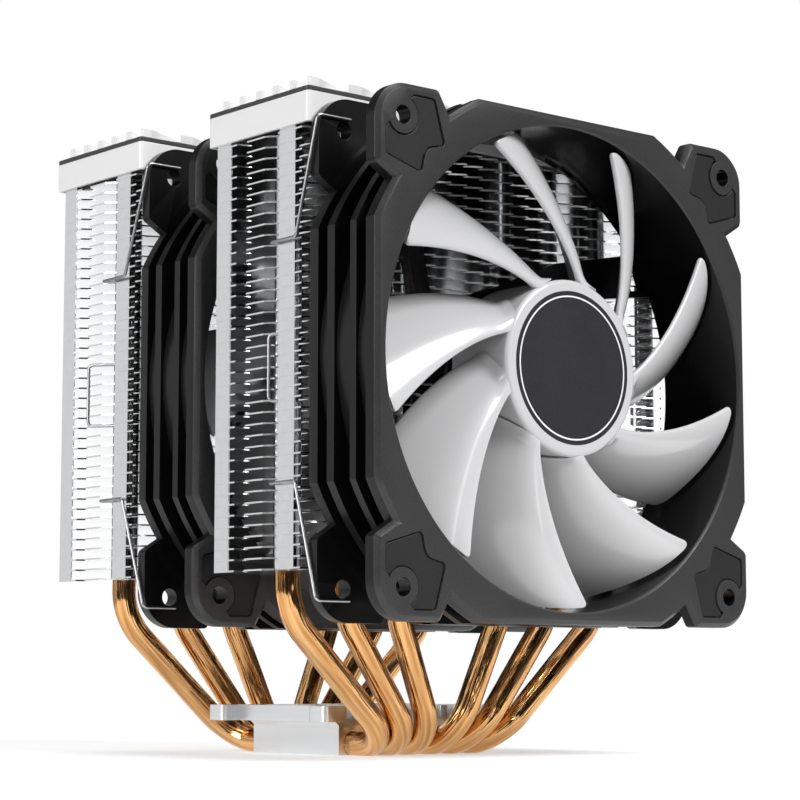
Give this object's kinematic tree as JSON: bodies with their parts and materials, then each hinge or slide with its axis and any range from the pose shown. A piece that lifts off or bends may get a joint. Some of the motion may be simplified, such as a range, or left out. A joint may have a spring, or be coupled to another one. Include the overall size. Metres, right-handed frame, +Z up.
{
  "type": "cpu tower cooler",
  "caption": "Dual-tower processor heatsink: finned stacks on U-shaped copper heat pipes over a milled base, with axial fans held by wire clips that blow front to back.",
  "frame": {"origin": "centre of the base's flat contact face, which rests on the processor", "axes": "+Z up from the processor through the towers, +Y the way the air flows from the front fan to the rear tower, +X to the right seen from the front fan"},
  "size_m": [0.1242, 0.132, 0.1559],
  "materials": {
    "frame_plastic": "charcoal, fine satin",
    "pad_rubber": "dark matt rubber",
    "impeller_plastic": "silver white gloss",
    "label_film": "dark film with a thin pale ring",
    "motor_steel": "plain steel",
    "magnet_rubber": "dark bonded magnet",
    "ring_plastic": "natural plastic",
    "bearing_bronze": "sintered bronze",
    "copper": "polished copper",
    "board_laminate": "green laminate",
    "fin_aluminium": "bright rolled sheet",
    "cover_plastic": "white gloss",
    "top_plate_plastic": "charcoal satin",
    "base_aluminium": "milled",
    "wire_steel": "bright spring wire"
  },
  "bodies": {
    "heatsink": {"base_block": "base_aluminium", "base_plate": "base_aluminium", "heat_pipe_1": "copper", "heat_pipe_2": "copper", "heat_pipe_3": "copper", "heat_pipe_4": "copper", "heat_pipe_5": "copper", "heat_pipe_6": "copper", "tower_1_fins": "fin_aluminium", "tower_1_cover": "cover_plastic", "tower_1_top_plate": "top_plate_plastic", "tower_1_rib_panel": "cover_plastic", "tower_2_fins": "fin_aluminium", "tower_2_cover": "cover_plastic", "tower_2_top_plate": "top_plate_plastic", "tower_2_rib_panel": "cover_plastic", "clip_front_left": "wire_steel", "clip_front_right": "wire_steel", "clip_rear_left": "wire_steel", "clip_rear_right": "wire_steel", "fan_1_frame": "frame_plastic", "fan_1_pads": "pad_rubber", "fan_1_bearing": "bearing_bronze", "fan_1_stator_core": "motor_steel", "fan_1_coils": "copper", "fan_1_circuit_board": "board_laminate", "fan_2_frame": "frame_plastic", "fan_2_pads": "pad_rubber", "fan_2_bearing": "bearing_bronze", "fan_2_stator_core": "motor_steel", "fan_2_coils": "copper", "fan_2_circuit_board": "board_laminate"},
    "rotor_1": {"fan_1_impeller": "impeller_plastic", "fan_1_hub_label": "label_film", "fan_1_yoke": "motor_steel", "fan_1_magnet_ring": "magnet_rubber", "fan_1_shaft": "motor_steel", "fan_1_lock_ring": "ring_plastic"},
    "rotor_2": {"fan_2_impeller": "impeller_plastic", "fan_2_hub_label": "label_film", "fan_2_yoke": "motor_steel", "fan_2_magnet_ring": "magnet_rubber", "fan_2_shaft": "motor_steel", "fan_2_lock_ring": "ring_plastic"}
  },
  "joints": [
    {"name": "fan_1_spin", "type": "hinge", "parent": "heatsink", "child": "rotor_1", "pos_m": [0, -0.066, 0.091], "axis": [0, 1, 0], "continuous": true},
    {"name": "fan_2_spin", "type": "hinge", "parent": "heatsink", "child": "rotor_2", "pos_m": [0, 0.002, 0.091], "axis": [0, 1, 0], "continuous": true}
  ]
}
